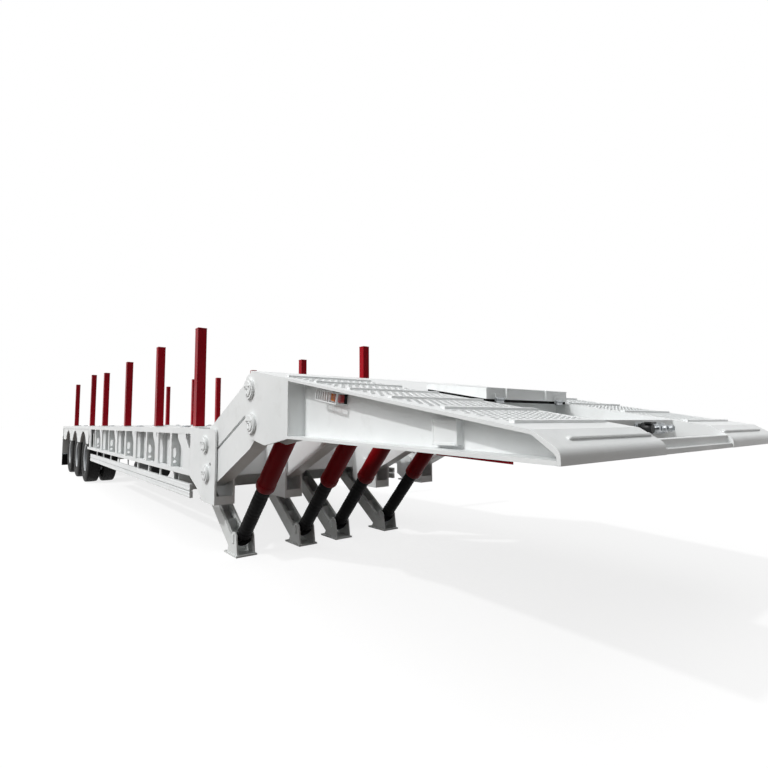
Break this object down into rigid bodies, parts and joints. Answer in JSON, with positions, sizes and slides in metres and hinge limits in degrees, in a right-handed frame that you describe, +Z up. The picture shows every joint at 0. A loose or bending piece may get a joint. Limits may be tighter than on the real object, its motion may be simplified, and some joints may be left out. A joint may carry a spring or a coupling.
{
  "type": "low loader semi-trailer with stake sides and a hydraulic gooseneck",
  "caption": "White low-loader semi-trailer with red stakes, twin-wheel axles and a ramp-topped gooseneck raised on parallel links by red cylinders that stand on feet.",
  "frame": {"origin": "on the ground under the middle of the overall box", "axes": "+X towards the nose of the gooseneck, +Y to the trailer's left, +Z up"},
  "size_m": [15.12, 2.544, 2.29],
  "materials": {
    "white_paint": "gloss enamel",
    "grey_paint": "grey enamel",
    "red_paint": "red enamel",
    "black_paint": "black enamel",
    "silver_paint": "silver wheel paint",
    "black_rubber": "ribbed rubber",
    "tyre": "tyre rubber",
    "red_lens": "lamp lens",
    "amber_lens": "lamp lens",
    "zinc": "zinc plate"
  },
  "bodies": {
    "deck": {"main_beams": "white_paint", "outriggers": "white_paint", "side_rails": "white_paint", "deck_floor": "white_paint", "front_bulkhead": "white_paint", "link_brackets": "white_paint", "deck_pins": "white_paint", "stake_pockets": "white_paint", "stakes": "red_paint", "support_legs": "grey_paint", "feet": "grey_paint", "side_guards": "white_paint", "wheel_aprons": "white_paint", "mud_flaps": "black_rubber", "rear_beam": "white_paint", "rear_lamps": "red_lens", "axles": "grey_paint", "suspension": "black_paint", "air_tank": "black_paint"},
    "upper_links": {"upper_links": "white_paint"},
    "lower_links": {"lower_links": "white_paint"},
    "gooseneck": {"gooseneck_beams": "white_paint", "gooseneck_frame": "white_paint", "ramp_decks": "white_paint", "nose_plates": "white_paint", "coupling_plate": "grey_paint", "centre_spine": "white_paint", "marker_lamps": "amber_lens", "cover_boxes": "white_paint", "air_couplings": "zinc", "gooseneck_pins": "white_paint"},
    "cylinder_barrels": {"cylinder_barrels": "red_paint"},
    "cylinder_rods": {"cylinder_rods": "black_rubber"},
    "wheels_1_right": {"tyres_1_right": "tyre", "wheel_1_right": "silver_paint"},
    "wheels_1_left": {"tyres_1_left": "tyre", "wheel_1_left": "silver_paint"},
    "wheels_2_right": {"tyres_2_right": "tyre", "wheel_2_right": "silver_paint"},
    "wheels_2_left": {"tyres_2_left": "tyre", "wheel_2_left": "silver_paint"},
    "wheels_3_right": {"tyres_3_right": "tyre", "wheel_3_right": "silver_paint"},
    "wheels_3_left": {"tyres_3_left": "tyre", "wheel_3_left": "silver_paint"}
  },
  "joints": [
    {"name": "neck_lift", "type": "hinge", "parent": "deck", "child": "lower_links", "pos_m": [4.185, 0, 0.777], "axis": [0, -1, 0], "range_deg": [-34.5, 0]},
    {"name": "upper_link_swing", "type": "hinge", "parent": "deck", "child": "upper_links", "pos_m": [4.145, 0, 1.027], "axis": [0, -1, 0], "range_deg": [-34.5, 0]},
    {"name": "neck_pivot", "type": "hinge", "parent": "lower_links", "child": "gooseneck", "pos_m": [5.12681, 0, 1.20621], "axis": [0, -1, 0], "range_deg": [0, 34.5]},
    {"name": "barrel_swing", "type": "hinge", "parent": "gooseneck", "child": "cylinder_barrels", "pos_m": [5.17, 0, 1.39], "axis": [0, -1, 0], "range_deg": [-19.97, 0]},
    {"name": "rod_slide", "type": "slide", "parent": "cylinder_barrels", "child": "cylinder_rods", "axis": [-0.6774, 0, -0.7356], "range_m": [-0.302, 0]},
    {"name": "axle_1_right_spin", "type": "hinge", "parent": "deck", "child": "wheels_1_right", "pos_m": [-3.63, -0.921, 0.505], "axis": [0, 1, 0], "continuous": true},
    {"name": "axle_1_left_spin", "type": "hinge", "parent": "deck", "child": "wheels_1_left", "pos_m": [-3.63, 0.921, 0.505], "axis": [0, 1, 0], "continuous": true},
    {"name": "axle_2_right_spin", "type": "hinge", "parent": "deck", "child": "wheels_2_right", "pos_m": [-4.98, -0.921, 0.505], "axis": [0, 1, 0], "continuous": true},
    {"name": "axle_2_left_spin", "type": "hinge", "parent": "deck", "child": "wheels_2_left", "pos_m": [-4.98, 0.921, 0.505], "axis": [0, 1, 0], "continuous": true},
    {"name": "axle_3_right_spin", "type": "hinge", "parent": "deck", "child": "wheels_3_right", "pos_m": [-6.33, -0.921, 0.505], "axis": [0, 1, 0], "continuous": true},
    {"name": "axle_3_left_spin", "type": "hinge", "parent": "deck", "child": "wheels_3_left", "pos_m": [-6.33, 0.921, 0.505], "axis": [0, 1, 0], "continuous": true}
  ],
  "couplings": [
    {"joint": "upper_link_swing", "follows": "neck_lift", "ratio": 1},
    {"joint": "neck_pivot", "follows": "neck_lift", "ratio": -1},
    {"joint": "barrel_swing", "follows": "neck_lift", "ratio": 0.5775},
    {"joint": "rod_slide", "follows": "neck_lift", "m_per_rad": 0.50034}
  ]
}
